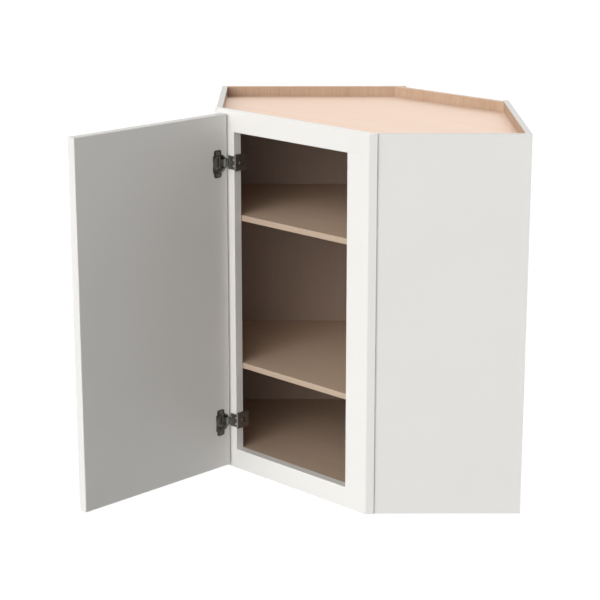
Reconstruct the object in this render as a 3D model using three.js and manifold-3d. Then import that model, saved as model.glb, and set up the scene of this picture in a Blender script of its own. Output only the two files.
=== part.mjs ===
// Diagonal corner wall cabinet: a five-sided plywood carcase behind a diagonal face frame,
// two loose shelves on pins, and one slab door hung on two concealed wrap-round hinges.
//
// Millimetres, +Z up. The origin is the room corner, level with the cabinet's underside:
// the rear wall is the plane Y = 0 and the right wall is the plane X = 0, so the cabinet
// lies where X and Y are negative. The door is drawn standing open.

import * as THREE from 'three';
import { mergeVertices } from 'three/addons/utils/BufferGeometryUtils.js';
import Module from 'manifold-3d';

const wasm = await Module();
wasm.setup();

// ---------------------------------------------------------------- driving dimensions

// Carcase
const WALL_RUN = 609.6; // room corner to the frame's end faces, along either wall
const SIDE_DEPTH = 307; // wall to the frame's front arris, at either side
const HEIGHT = 762;
const PANEL_T = 12; // plywood of every carcase panel
const FRAME_LIP = 3.2; // how far the frame's ends stand proud of the side panels
const WALL_PANEL_STOP = 203; // room corner to the cut end of each wall panel
const DIAGONAL_SET = 223; // room corner to where the diagonal back's outer plane cuts a wall
const TOP_RECESS = 21; // rim down to the top panel
const GROOVE_DEPTH = 5; // for the edges of the top and bottom panels
const FIT = 0.15; // clearance of a glued or housed joint

// Face frame
const FRAME_T = 18.5;
const STILE_W = 56;
const TOP_RAIL_W = 42;
const BOTTOM_RAIL_W = 42;
const END_FACE_W = 16.4; // bevelled end of a stile, parallel to the side panel
const TENON_L = 12;
const TENON_T = 6;
const TENON_SHOULDER = 6; // above and below each tenon

// Shelves and their pins
const SHELF_T = 12;
const MIDDLE_BAY = 304.8; // clear height between the two shelves
const SHELF_SIDE_GAP = 1;
const SHELF_FRONT_GAP = 2; // shelf's front edge to the back of the frame
const PIN_R = 2.5;
const PIN_COLLAR_R = 4;
const PIN_COLLAR_T = 1.5;
const PIN_REACH = 9; // bearing length under the shelf
const PIN_SEAT = 8; // length inside the panel
const PIN_HOLE_DEPTH = 8.5;
const PIN_HOLE_CLEARANCE = 0.1;
const PIN_HOLE_PITCH = 32; // spare holes above and below each pin
const FRONT_PIN_INSET = 40; // side panel's front edge to its front holes
const REAR_PIN_INSET = 60; // wall face to the side panel's rear holes
const DIAGONAL_PIN_SPREAD = 200; // between the two columns of the diagonal back

// Door
const DOOR_OVERLAY = 37.4; // door's edge past the opening, at either side
const DOOR_END_OVERLAY = 36.5; // the same above and below
const DOOR_T = 19;
const DOOR_ARRIS_R = 2; // eased long edges
const DOOR_END_ARRIS = 1.2; // eased top and bottom edges
const DOOR_GAP = 3.5; // door's back to the frame's face, when shut
const OPEN_ANGLE = 90; // degrees from shut, as drawn

// Hinge: cup side
const HINGE_FROM_END = 99.5; // door's end to the hinge's middle
const PIVOT_FROM_EDGE = 10.2; // door's hinge edge to the hinge pin
const PIVOT_DEPTH = 11.6; // door's back to the hinge pin
const CUP_FROM_EDGE = 21; // door's hinge edge to the cup's centre
const CUP_R = 17.4;
const CUP_WALL = 1;
const CUP_HOLLOW = 14;
const CUP_FLOOR = 0.8;
const CUP_BORE_CLEARANCE = 0.15;
const FLANGE_T = 1.2;
const FLANGE_RIM = 1.6; // flange beyond the cup
const FLANGE_SQUARE = 18.2; // cup's centre to the flange's straight far edge
const FLANGE_SQUARE_L = 35;
const EAR_INSET = 5.5; // cup's centre to the line of the ear screws
const EAR_SCREW_PITCH = 45;
const EAR_W = 20;
const EAR_L = 57;
const EAR_CORNER_R = 5;
const LUG_GAP = 15.8; // between the two lugs that hold the hinge pin
const LUG_R = 3;
const NECK_NOTCH = 4.5; // how deep the cup's wall is cut away for the arm's neck
const HINGE_PIN_R = 1.25;
const HINGE_PIN_L = 22;
const HINGE_PIN_CLEARANCE = 0.05;

// Hinge: frame side
const ARM_W = 15.2;
const ARM_T = 2.5;
const ARM_RISE = 1.4; // arm's upper face above the pin's axis
const ARM_BEND_R = 1.5; // inner radius of the neck's bend
const ARM_REACH = 13.7; // pin's axis to the inner face of the arm's leg
const KNUCKLE_R = 2.1;
const FOOT_T = 1.8;
const FOOT_END = 24.2; // pin's axis to the end of the arm's foot
const FOOT_FILLET = 0.9;
const PLATE_T = 1.5;
const PLATE_FRONT_H = 28;
const PLATE_FRONT_L = 16; // on the stile's face, measured from the opening
const PLATE_INNER_H = 34.5;
const PLATE_INNER_L = 31; // back from the frame's face
const PLATE_STANDOFF = 4.4; // inner leg's outer face off the stile's edge
const PLATE_SLOT_L = 9;
const FRAME_SCREW_SET = 13; // behind the frame's face

// Screws: head radius, head height, shank radius, shank length
const EAR_SCREW = { headR: 3.7, headH: 1.4, shankR: 1.7, shankL: 10 };
const FRAME_SCREW = { headR: 4, headH: 1.8, shankR: 2, shankL: 18 };
const ADJUSTER = { headR: 3, headH: 1.7, shankR: 1.8, shankL: 3 };
const SCREW_CLEARANCE = 0.1;
const ADJUSTER_FROM_PIN = 20.3;

const CUT_PAST = 1; // how far a cutting tool reaches past the face that it opens
const ROUND_SIDES = 28;
const SMALL_ROUND_SIDES = 14;

// ---------------------------------------------------------------- derived dimensions

const SIDE_FACE = WALL_RUN - FRAME_LIP; // wall to a side panel's outer face
const SIDE_INNER = SIDE_FACE - PANEL_T;
const FRONT_W = (WALL_RUN - SIDE_DEPTH) * Math.SQRT2; // face frame between its front arrises
// A diagonal plane is named by its -(X + Y).
const FRAME_FACE_SUM = WALL_RUN + SIDE_DEPTH;
const FRAME_BACK_SUM = FRAME_FACE_SUM - FRAME_T * Math.SQRT2;
const DIAGONAL_INNER_SUM = DIAGONAL_SET + PANEL_T * Math.SQRT2;
const SIDE_FRONT = SIDE_DEPTH - END_FACE_W; // wall to the frame's blunt return
const BOTTOM_PANEL_Z = BOTTOM_RAIL_W - PANEL_T;
const TOP_PANEL_Z = HEIGHT - TOP_RECESS - PANEL_T;
const LOWER_SHELF_Z = (HEIGHT - MIDDLE_BAY) / 2 - SHELF_T;
const UPPER_SHELF_Z = (HEIGHT + MIDDLE_BAY) / 2;
const OPENING_W = FRONT_W - 2 * STILE_W;
const DOOR_W = OPENING_W + 2 * DOOR_OVERLAY;
const DOOR_Z = BOTTOM_RAIL_W - DOOR_END_OVERLAY;
const DOOR_H = HEIGHT - TOP_RAIL_W + DOOR_END_OVERLAY - DOOR_Z;
const PIVOT_X = STILE_W - DOOR_OVERLAY + PIVOT_FROM_EDGE;
const PIVOT_OUT = DOOR_GAP + PIVOT_DEPTH; // in front of the frame's face
const HINGE_HEIGHTS = { lower: DOOR_Z + HINGE_FROM_END, upper: DOOR_Z + DOOR_H - HINGE_FROM_END };

// ---------------------------------------------------------------- shaping helpers

// A closed three.js geometry as a solid that can be cut and joined.
function toSolid(geometry) {
  const bare = geometry.index ? geometry.toNonIndexed() : geometry.clone();
  bare.deleteAttribute('normal');
  bare.deleteAttribute('uv');
  const merged = mergeVertices(bare, 1e-4);
  return new wasm.Manifold(new wasm.Mesh({
    numProp: 3,
    vertProperties: new Float32Array(merged.attributes.position.array),
    triVerts: new Uint32Array(merged.index.array),
  }));
}

function toGeometry(solid) {
  const { numProp, vertProperties, triVerts } = solid.getMesh();
  const positions = new Float32Array((vertProperties.length / numProp) * 3);
  for (let i = 0; i < positions.length / 3; i += 1) {
    positions.set(vertProperties.subarray(i * numProp, i * numProp + 3), i * 3);
  }
  const geometry = new THREE.BufferGeometry();
  geometry.setAttribute('position', new THREE.BufferAttribute(positions, 3));
  geometry.setIndex(new THREE.BufferAttribute(new Uint32Array(triVerts), 1));
  geometry.computeVertexNormals();
  return geometry;
}

const cut = (body, tools) => tools.reduce((left, tool) => left.subtract(tool), body);
const join = (bodies) => bodies.reduce((sum, body) => sum.add(body));

function outline(points) {
  return new THREE.Shape(points.map(([x, y]) => new THREE.Vector2(x, y)));
}

// A plan outline raised from z0 to z1.
function prism(shape, z0, z1, curveSegments = 6) {
  const geometry = new THREE.ExtrudeGeometry(shape, { depth: z1 - z0, bevelEnabled: false, curveSegments });
  geometry.translate(0, 0, z0);
  return toSolid(geometry);
}

function block([x0, y0, z0], [x1, y1, z1]) {
  const geometry = new THREE.BoxGeometry(x1 - x0, y1 - y0, z1 - z0);
  geometry.translate((x0 + x1) / 2, (y0 + y1) / 2, (z0 + z1) / 2);
  return toSolid(geometry);
}

// A round bar from one point to another.
function rod(from, to, radius, sides = SMALL_ROUND_SIDES) {
  const start = new THREE.Vector3(...from);
  const along = new THREE.Vector3(...to).sub(start);
  const geometry = new THREE.CylinderGeometry(radius, radius, along.length(), sides);
  geometry.translate(0, along.length() / 2, 0);
  geometry.applyQuaternion(new THREE.Quaternion().setFromUnitVectors(
    new THREE.Vector3(0, 1, 0), along.clone().normalize()));
  geometry.translate(start.x, start.y, start.z);
  return toSolid(geometry);
}

// A turned piece: [radius, height] points round +Y, then aimed along a direction from a place.
function turned(profile, place, direction, sides = SMALL_ROUND_SIDES) {
  const geometry = new THREE.LatheGeometry(
    profile.map(([radius, height]) => new THREE.Vector2(radius, height)), sides);
  geometry.applyQuaternion(new THREE.Quaternion().setFromUnitVectors(
    new THREE.Vector3(0, 1, 0), new THREE.Vector3(...direction)));
  geometry.translate(...place);
  return toSolid(geometry);
}

// The line X + Y = -sum taken through a given X or Y.
const onDiagonal = (sum, known) => -sum - known;

// A plan swapped across the corner's own diagonal, which turns left into right.
const mirrored = (points) => points.map(([x, y]) => [y, x]).reverse();

// ---------------------------------------------------------------- scene graph

const cabinet = new THREE.Group();
// The face frame's own axes: X along its face from left to right, Y into the cabinet.
const front = new THREE.Group();
front.position.set(-WALL_RUN, -SIDE_DEPTH, 0);
front.rotation.z = -Math.PI / 4;
cabinet.add(front);
// The door's axes are the front's, turned about the hinge pins.
const door = new THREE.Group();
door.position.set(PIVOT_X, -PIVOT_OUT, 0);
door.rotation.z = -THREE.MathUtils.degToRad(OPEN_ANGLE);
front.add(door);

const FINISHES = {
  paint: { color: 0xe9e8e4, roughness: 0.45, metalness: 0 },
  maple: { color: 0xe3c4aa, roughness: 0.5, metalness: 0 },
  nickel: { color: 0x77746f, roughness: 0.32, metalness: 1 },
  steel: { color: 0x9a9894, roughness: 0.35, metalness: 1 },
};

function place(parent, name, solid, finish) {
  const mesh = new THREE.Mesh(toGeometry(solid), new THREE.MeshStandardMaterial(FINISHES[finish]));
  mesh.name = name;
  parent.add(mesh);
}

// ---------------------------------------------------------------- carcase

// The room inside the five panels and the frame, each panel side moved out by grow and
// the front side moved back from the frame by frontGap.
function insidePlan(grow, frontGap) {
  const far = -SIDE_INNER - grow;
  const near = -PANEL_T + grow;
  const frameSum = FRAME_BACK_SUM - frontGap * Math.SQRT2;
  const diagonalSum = DIAGONAL_INNER_SUM - grow * Math.SQRT2;
  return [
    [far, onDiagonal(frameSum, far)],
    [onDiagonal(frameSum, far), far],
    [near, far],
    [near, onDiagonal(diagonalSum, near)],
    [onDiagonal(diagonalSum, near), near],
    [far, near],
  ];
}

function housedPanel(z) {
  return prism(outline(insidePlan(GROOVE_DEPTH - FIT, FIT)), z, z + PANEL_T);
}

// What the upright panels lose to the edges of the top and bottom panels.
function grooves() {
  return [BOTTOM_PANEL_Z, TOP_PANEL_Z].map((z) => (
    prism(outline(insidePlan(GROOVE_DEPTH, FIT)), z - FIT, z + PANEL_T + FIT)));
}

function leftSidePlan() {
  const returnY = -SIDE_FRONT + FIT;
  const backSum = FRAME_BACK_SUM - FIT * Math.SQRT2;
  return [
    [-SIDE_FACE, returnY],
    [onDiagonal(backSum, returnY), returnY],
    [-SIDE_INNER, onDiagonal(backSum, -SIDE_INNER)],
    [-SIDE_INNER, 0],
    [-SIDE_FACE, 0],
  ];
}

function rearWallPlan() {
  return [
    [-SIDE_INNER + FIT, -PANEL_T],
    [-WALL_PANEL_STOP, -PANEL_T],
    [-WALL_PANEL_STOP, 0],
    [-SIDE_INNER + FIT, 0],
  ];
}

// The diagonal back stands between the wall panels, its ends cut to lie on their inner faces.
function diagonalBackPlan() {
  const face = -PANEL_T - FIT;
  return [
    [onDiagonal(DIAGONAL_INNER_SUM, face), face],
    [face, onDiagonal(DIAGONAL_INNER_SUM, face)],
    [face, onDiagonal(DIAGONAL_SET, face)],
    [onDiagonal(DIAGONAL_SET, face), face],
  ];
}

// ---------------------------------------------------------------- shelf pins

// Where pins stand on the panels: a point on the panel's inner face and the way out of it.
function pinStations() {
  const frontHole = -SIDE_FRONT + FRONT_PIN_INSET;
  const backNormal = [-Math.SQRT1_2, -Math.SQRT1_2];
  const half = (DIAGONAL_PIN_SPREAD / 2) * Math.SQRT1_2;
  const middle = -DIAGONAL_INNER_SUM / 2;
  return {
    left_front: { at: [-SIDE_INNER, frontHole], out: [1, 0] },
    left_rear: { at: [-SIDE_INNER, -REAR_PIN_INSET], out: [1, 0] },
    back_left: { at: [middle - half, middle + half], out: backNormal },
    back_right: { at: [middle + half, middle - half], out: backNormal },
    right_rear: { at: [-REAR_PIN_INSET, -SIDE_INNER], out: [0, 1] },
    right_front: { at: [frontHole, -SIDE_INNER], out: [0, 1] },
  };
}

const pinHeight = (shelfZ) => shelfZ - PIN_R;

function pinHoles(stationNames) {
  const stations = pinStations();
  const holes = [];
  for (const name of stationNames) {
    const { at: [x, y], out: [nx, ny] } = stations[name];
    for (const shelfZ of [LOWER_SHELF_Z, UPPER_SHELF_Z]) {
      for (const step of [-1, 0, 1]) {
        const z = pinHeight(shelfZ) + step * PIN_HOLE_PITCH;
        const mouth = [x + nx * CUT_PAST, y + ny * CUT_PAST, z];
        const end = [x - nx * PIN_HOLE_DEPTH, y - ny * PIN_HOLE_DEPTH, z];
        holes.push(rod(mouth, end, PIN_R + PIN_HOLE_CLEARANCE));
      }
    }
  }
  return holes;
}

// A turned pin: seated end, collar against the panel, and the length that the shelf lies on.
// The collar's top is cut flat, level with the pin's, so that the shelf slides in over it.
function shelfPin({ at: [x, y], out: [nx, ny] }, shelfZ) {
  const profile = [
    [0, -PIN_SEAT],
    [PIN_R, -PIN_SEAT],
    [PIN_R, PIN_COLLAR_T + PIN_REACH],
    [0, PIN_COLLAR_T + PIN_REACH],
  ];
  const pin = turned(profile, [x, y, pinHeight(shelfZ)], [nx, ny, 0]);
  const collar = rod(
    [x, y, pinHeight(shelfZ)],
    [x + nx * PIN_COLLAR_T, y + ny * PIN_COLLAR_T, pinHeight(shelfZ)], PIN_COLLAR_R);
  const trim = block(
    [x - PIN_COLLAR_R * 2, y - PIN_COLLAR_R * 2, shelfZ],
    [x + PIN_COLLAR_R * 2, y + PIN_COLLAR_R * 2, shelfZ + PIN_COLLAR_R]);
  return pin.add(collar).subtract(trim);
}

function buildCarcase() {
  const channels = grooves();
  const upright = (plan) => cut(prism(outline(plan), 0, HEIGHT), channels);
  place(cabinet, 'side_panel_left',
    cut(upright(leftSidePlan()), pinHoles(['left_front', 'left_rear'])), 'paint');
  place(cabinet, 'side_panel_right',
    cut(upright(mirrored(leftSidePlan())), pinHoles(['right_front', 'right_rear'])), 'paint');
  place(cabinet, 'wall_panel_rear', upright(rearWallPlan()), 'maple');
  place(cabinet, 'wall_panel_right', upright(mirrored(rearWallPlan())), 'maple');
  place(cabinet, 'diagonal_back_panel',
    cut(upright(diagonalBackPlan()), pinHoles(['back_left', 'back_right'])), 'maple');
  place(cabinet, 'top_panel', housedPanel(TOP_PANEL_Z), 'maple');
  place(cabinet, 'bottom_panel', housedPanel(BOTTOM_PANEL_Z), 'maple');
}

function buildShelves() {
  const plan = outline(insidePlan(-SHELF_SIDE_GAP, SHELF_FRONT_GAP));
  const heights = { lower: LOWER_SHELF_Z, upper: UPPER_SHELF_Z };
  for (const [level, z] of Object.entries(heights)) {
    place(cabinet, `shelf_${level}`, prism(plan, z, z + SHELF_T), 'maple');
    for (const [name, station] of Object.entries(pinStations())) {
      place(cabinet, `shelf_pin_${level}_${name}`, shelfPin(station, z), 'steel');
    }
  }
}

// ---------------------------------------------------------------- face frame

// A stile's plan, drawn for the left one: the front arris, an end face parallel to the side
// panel, a blunt return square to that panel, then the back.
function stilePlan() {
  const endRun = END_FACE_W * Math.SQRT1_2;
  return [
    [0, 0],
    [STILE_W, 0],
    [STILE_W, FRAME_T],
    [-endRun + (FRAME_T - endRun), FRAME_T],
    [-endRun, endRun],
  ];
}

const TENON_Y = (FRAME_T - TENON_T) / 2;

// A rail with its two tenons, in the front's axes.
function rail(z, width) {
  const body = block([STILE_W + FIT, 0, z], [STILE_W + OPENING_W - FIT, FRAME_T, z + width]);
  const tenons = block(
    [STILE_W - TENON_L, TENON_Y, z + TENON_SHOULDER],
    [STILE_W + OPENING_W + TENON_L, TENON_Y + TENON_T, z + width - TENON_SHOULDER]);
  return body.add(tenons);
}

function mortises() {
  return [[0, BOTTOM_RAIL_W], [HEIGHT - TOP_RAIL_W, TOP_RAIL_W]].map(([z, width]) => block(
    [STILE_W - TENON_L - FIT, TENON_Y - FIT, z + TENON_SHOULDER - FIT],
    [STILE_W + OPENING_W + TENON_L + FIT, TENON_Y + TENON_T + FIT, z + width - TENON_SHOULDER + FIT]));
}

function buildFaceFrame() {
  const leftPlan = stilePlan();
  const rightPlan = leftPlan.map(([x, y]) => [FRONT_W - x, y]).reverse();
  const screwHoles = Object.values(HINGE_HEIGHTS).map((z) => rod(
    [STILE_W + CUT_PAST, FRAME_SCREW_SET, z],
    [STILE_W - FRAME_SCREW.shankL, FRAME_SCREW_SET, z], FRAME_SCREW.shankR + SCREW_CLEARANCE));
  const slots = mortises();
  place(front, 'stile_left', cut(prism(outline(leftPlan), 0, HEIGHT), [...slots, ...screwHoles]), 'paint');
  place(front, 'stile_right', cut(prism(outline(rightPlan), 0, HEIGHT), slots), 'paint');
  place(front, 'rail_bottom', rail(0, BOTTOM_RAIL_W), 'paint');
  place(front, 'rail_top', rail(HEIGHT - TOP_RAIL_W, TOP_RAIL_W), 'paint');
}

// ---------------------------------------------------------------- door

// In the door's axes the hinge pins are the Z axis, X runs away from the hinge edge and
// Y into the cabinet when the door is shut, so the door's back is at Y = PIVOT_DEPTH.
const DOOR_BACK = PIVOT_DEPTH;
const CUP_X = CUP_FROM_EDGE - PIVOT_FROM_EDGE;
const EAR_X = CUP_X + EAR_INSET;
const CUP_TOTAL = CUP_HOLLOW + CUP_FLOOR;

function roundedRectangle(x0, y0, x1, y1, radius) {
  const shape = new THREE.Shape();
  shape.moveTo(x0 + radius, y0);
  shape.lineTo(x1 - radius, y0);
  shape.absarc(x1 - radius, y0 + radius, radius, -Math.PI / 2, 0);
  shape.lineTo(x1, y1 - radius);
  shape.absarc(x1 - radius, y1 - radius, radius, 0, Math.PI / 2);
  shape.lineTo(x0 + radius, y1);
  shape.absarc(x0 + radius, y1 - radius, radius, Math.PI / 2, Math.PI);
  shape.lineTo(x0, y0 + radius);
  shape.absarc(x0 + radius, y0 + radius, radius, Math.PI, 1.5 * Math.PI);
  return shape;
}

function doorSlab() {
  const plan = roundedRectangle(
    -PIVOT_FROM_EDGE, DOOR_BACK - DOOR_T, DOOR_W - PIVOT_FROM_EDGE, DOOR_BACK, DOOR_ARRIS_R);
  const geometry = new THREE.ExtrudeGeometry(plan, {
    depth: DOOR_H - 2 * DOOR_END_ARRIS,
    bevelThickness: DOOR_END_ARRIS,
    bevelSize: DOOR_END_ARRIS,
    bevelOffset: -DOOR_END_ARRIS,
    bevelSegments: 2,
    curveSegments: 4,
  });
  geometry.translate(0, 0, DOOR_Z + DOOR_END_ARRIS);
  return toSolid(geometry);
}

// The bored hole for a hinge cup and the pilot holes of its two ear screws.
function cupBores(z) {
  const bore = rod([CUP_X, DOOR_BACK + CUT_PAST, z], [CUP_X, DOOR_BACK - CUP_TOTAL - FIT, z],
    CUP_R + CUP_BORE_CLEARANCE, ROUND_SIDES);
  const pilots = [-1, 1].map((side) => {
    const screwZ = z + (side * EAR_SCREW_PITCH) / 2;
    return rod([EAR_X, DOOR_BACK + CUT_PAST, screwZ],
      [EAR_X, DOOR_BACK + FLANGE_T - EAR_SCREW.shankL - FIT, screwZ], EAR_SCREW.shankR + SCREW_CLEARANCE);
  });
  return [bore, ...pilots];
}

function buildDoor() {
  const bores = Object.values(HINGE_HEIGHTS).flatMap(cupBores);
  place(door, 'door_panel', cut(doorSlab(), bores), 'paint');
}

// ---------------------------------------------------------------- hinges

// A pan-headed screw whose head bears at its place; direction points out of the head.
function screw({ headR, headH, shankR, shankL }, at, direction) {
  const profile = [
    [0, -shankL],
    [shankR, -shankL + shankR],
    [shankR, 0],
    [headR, 0],
    [headR, headH / 2],
    [headR - headH / 2, headH],
    [0, headH],
  ];
  return turned(profile, at, direction);
}

// Pressed cup: a drawn bowl with a flange, round beside the pins and square on the far side, an
// ear bar for the two screws and, inside, the two lugs that hold the hinge pin.
function hingeCup(z) {
  const mouth = DOOR_BACK + FLANGE_T;
  const bowl = rod([CUP_X, DOOR_BACK, z], [CUP_X, DOOR_BACK - CUP_TOTAL, z], CUP_R, ROUND_SIDES);
  const roundFlange = rod([CUP_X, DOOR_BACK, z], [CUP_X, mouth, z], CUP_R + FLANGE_RIM, ROUND_SIDES);
  const farHalf = block(
    [CUP_X, DOOR_BACK, z - FLANGE_SQUARE_L / 2], [CUP_X + FLANGE_SQUARE, mouth, z + FLANGE_SQUARE_L / 2]);
  const earGeometry = new THREE.ExtrudeGeometry(
    roundedRectangle(EAR_X - EAR_W / 2, -EAR_L / 2, EAR_X + EAR_W / 2, EAR_L / 2, EAR_CORNER_R),
    { depth: FLANGE_T, bevelEnabled: false, curveSegments: 5 });
  earGeometry.rotateX(Math.PI / 2);
  earGeometry.translate(0, mouth, z);
  const hollow = rod([CUP_X, mouth + CUT_PAST, z], [CUP_X, DOOR_BACK - CUP_HOLLOW, z],
    CUP_R - CUP_WALL, ROUND_SIDES);
  const shell = join([bowl, roundFlange, farHalf, toSolid(earGeometry)]).subtract(hollow);
  const lugs = [-1, 1].map((side) => rod(
    [0, 0, z + (side * LUG_GAP) / 2], [0, 0, z + side * CUP_R], LUG_R));
  const keep = rod([CUP_X, DOOR_BACK, z], [CUP_X, DOOR_BACK - CUP_TOTAL, z],
    CUP_R - CUP_WALL / 2, ROUND_SIDES);
  const trimmedLugs = lugs.map((lug) => lug.intersect(keep));
  const pinHole = rod([0, 0, z - HINGE_PIN_L / 2 - FIT], [0, 0, z + HINGE_PIN_L / 2 + FIT],
    HINGE_PIN_R + HINGE_PIN_CLEARANCE);
  const screwHoles = [-1, 1].map((side) => {
    const screwZ = z + (side * EAR_SCREW_PITCH) / 2;
    return rod([EAR_X, mouth + CUT_PAST, screwZ], [EAR_X, DOOR_BACK - CUT_PAST, screwZ],
      EAR_SCREW.shankR + SCREW_CLEARANCE);
  });
  const notch = block(
    [CUP_X - CUP_R - 2 * FLANGE_RIM, DOOR_BACK - NECK_NOTCH, z - LUG_GAP / 2],
    [-KNUCKLE_R, mouth + CUT_PAST, z + LUG_GAP / 2]);
  return cut(join([shell, ...trimmedLugs]), [pinHole, notch, ...screwHoles]);
}

// The arm's plan about the pin, in the front's axes: knuckle, straight neck, one bend over the
// door's edge, leg down to the frame's plate, and the foot that is screwed to it.
function armPlan() {
  const under = ARM_T - ARM_RISE;
  const bendX = ARM_REACH - ARM_BEND_R;
  const bendY = under + ARM_BEND_R;
  const footBottom = PIVOT_OUT - PLATE_T;
  const footTop = footBottom - FOOT_T;
  const legOuter = ARM_REACH + ARM_T;
  const neckStart = Math.acos(ARM_RISE / KNUCKLE_R);
  const neckEnd = Math.acos(under / KNUCKLE_R);
  const shape = new THREE.Shape();
  shape.moveTo(bendX, -ARM_RISE);
  shape.absarc(bendX, bendY, ARM_BEND_R + ARM_T, -Math.PI / 2, 0, false);
  shape.lineTo(legOuter, footTop - FOOT_FILLET);
  shape.absarc(legOuter + FOOT_FILLET, footTop - FOOT_FILLET, FOOT_FILLET, Math.PI, Math.PI / 2, true);
  shape.lineTo(FOOT_END, footTop);
  shape.lineTo(FOOT_END, footBottom);
  shape.lineTo(ARM_REACH, footBottom);
  shape.lineTo(ARM_REACH, bendY);
  shape.absarc(bendX, bendY, ARM_BEND_R, 0, -Math.PI / 2, true);
  // Round the back of the knuckle, from under the neck to above it.
  shape.absarc(0, 0, KNUCKLE_R, Math.PI / 2 - neckEnd, 1.5 * Math.PI + neckStart, false);
  return shape;
}

function hingeArm(z) {
  const geometry = new THREE.ExtrudeGeometry(
    armPlan(), { depth: ARM_W, bevelEnabled: false, curveSegments: 8 });
  geometry.translate(PIVOT_X, -PIVOT_OUT, z - ARM_W / 2);
  const pinHole = rod([PIVOT_X, -PIVOT_OUT, z - ARM_W], [PIVOT_X, -PIVOT_OUT, z + ARM_W],
    HINGE_PIN_R + HINGE_PIN_CLEARANCE);
  return cut(toSolid(geometry), [pinHole, adjusterHole(z)]);
}

// The hole through the arm's foot and the plate under it, square to the frame's face.
function adjusterHole(z) {
  const x = PIVOT_X + ADJUSTER_FROM_PIN;
  return rod([x, -PLATE_T - FOOT_T - CUT_PAST, z], [x, CUT_PAST, z], ADJUSTER.shankR + SCREW_CLEARANCE);
}

// Wrap-round plate: a leg on the stile's face, and a channel that stands off the stile's edge
// and runs back past the frame.
function framePlate(z) {
  const webOuter = STILE_W + PLATE_STANDOFF;
  const inner = PLATE_INNER_H / 2;
  const lay = FIT / 2;
  const face = block(
    [STILE_W - PLATE_FRONT_L, -PLATE_T, z - PLATE_FRONT_H / 2],
    [webOuter, -lay, z + PLATE_FRONT_H / 2]);
  const web = block([webOuter - PLATE_T, -PLATE_T, z - inner], [webOuter, PLATE_INNER_L, z + inner]);
  const flanges = [-1, 1].map((side) => {
    const edge = z + side * inner;
    const inside = edge - side * PLATE_T;
    return block(
      [STILE_W + lay, -PLATE_T, Math.min(edge, inside)],
      [webOuter, PLATE_INNER_L, Math.max(edge, inside)]);
  });
  return cut(join([face, web, ...flanges]), [plateSlot(z), adjusterHole(z)]);
}

// The upright slot that lets the plate be set up or down on its screw.
function plateSlot(z) {
  const radius = FRAME_SCREW.shankR + SCREW_CLEARANCE;
  const half = PLATE_SLOT_L / 2 - radius;
  const x1 = STILE_W + PLATE_STANDOFF + CUT_PAST;
  const x0 = STILE_W + PLATE_STANDOFF - PLATE_T - CUT_PAST;
  const ends = [-half, half].map((dz) => (
    rod([x0, FRAME_SCREW_SET, z + dz], [x1, FRAME_SCREW_SET, z + dz], radius)));
  const middle = block([x0, FRAME_SCREW_SET - radius, z - half], [x1, FRAME_SCREW_SET + radius, z + half]);
  return join([middle, ...ends]);
}

function buildHinge(level, z) {
  const name = (part) => `hinge_${level}_${part}`;
  const mouth = DOOR_BACK + FLANGE_T;
  place(door, name('cup'), hingeCup(z), 'nickel');
  for (const [end, side] of [['bottom', -1], ['top', 1]]) {
    const at = [EAR_X, mouth, z + (side * EAR_SCREW_PITCH) / 2];
    place(door, name(`cup_screw_${end}`), screw(EAR_SCREW, at, [0, 1, 0]), 'steel');
  }
  place(door, name('pin'),
    rod([0, 0, z - HINGE_PIN_L / 2], [0, 0, z + HINGE_PIN_L / 2], HINGE_PIN_R), 'steel');
  place(front, name('arm'), hingeArm(z), 'nickel');
  place(front, name('frame_plate'), framePlate(z), 'nickel');
  place(front, name('frame_screw'),
    screw(FRAME_SCREW, [STILE_W + PLATE_STANDOFF, FRAME_SCREW_SET, z], [1, 0, 0]), 'steel');
  place(front, name('adjuster'),
    screw(ADJUSTER, [PIVOT_X + ADJUSTER_FROM_PIN, -PLATE_T - FOOT_T, z], [0, -1, 0]), 'steel');
}

// ---------------------------------------------------------------- assembly

buildCarcase();
buildShelves();
buildFaceFrame();
buildDoor();
for (const [level, z] of Object.entries(HINGE_HEIGHTS)) buildHinge(level, z);

export default cabinet;
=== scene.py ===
import math

import bmesh
import bpy
import mathutils
import numpy as np
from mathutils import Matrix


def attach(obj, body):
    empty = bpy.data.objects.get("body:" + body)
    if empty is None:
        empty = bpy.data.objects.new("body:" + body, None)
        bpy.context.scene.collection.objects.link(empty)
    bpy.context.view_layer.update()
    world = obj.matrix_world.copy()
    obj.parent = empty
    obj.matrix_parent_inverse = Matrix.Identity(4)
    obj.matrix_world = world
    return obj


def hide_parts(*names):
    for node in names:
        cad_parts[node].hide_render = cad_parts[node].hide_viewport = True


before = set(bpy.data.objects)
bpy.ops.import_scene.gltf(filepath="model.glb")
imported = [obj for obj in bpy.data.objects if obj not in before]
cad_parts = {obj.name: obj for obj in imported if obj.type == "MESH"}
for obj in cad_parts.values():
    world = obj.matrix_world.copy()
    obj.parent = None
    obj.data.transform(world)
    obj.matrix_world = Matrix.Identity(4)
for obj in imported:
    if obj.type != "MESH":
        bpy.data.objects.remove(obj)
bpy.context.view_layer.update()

MM = 0.001  # every size below is in millimetres until it goes into a mesh


# ---------------------------------------------------------------- camera
# The photograph looks at the room corner from in front of the cabinet, from above its
# top, with a long lens. The place, the turn and the lens were solved from its edges.

CAMERA_PLACE = (-442.59, -4000.37, 1363.43)
CAMERA_TURN = 0.0978  # degrees right of the rear wall's normal
CAMERA_DOWN = 15.2265  # degrees below level
FOCAL_LENGTH = 1829.04  # in pixels of the photograph
PHOTO_WIDTH = 600
SENSOR = 36.0

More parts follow.
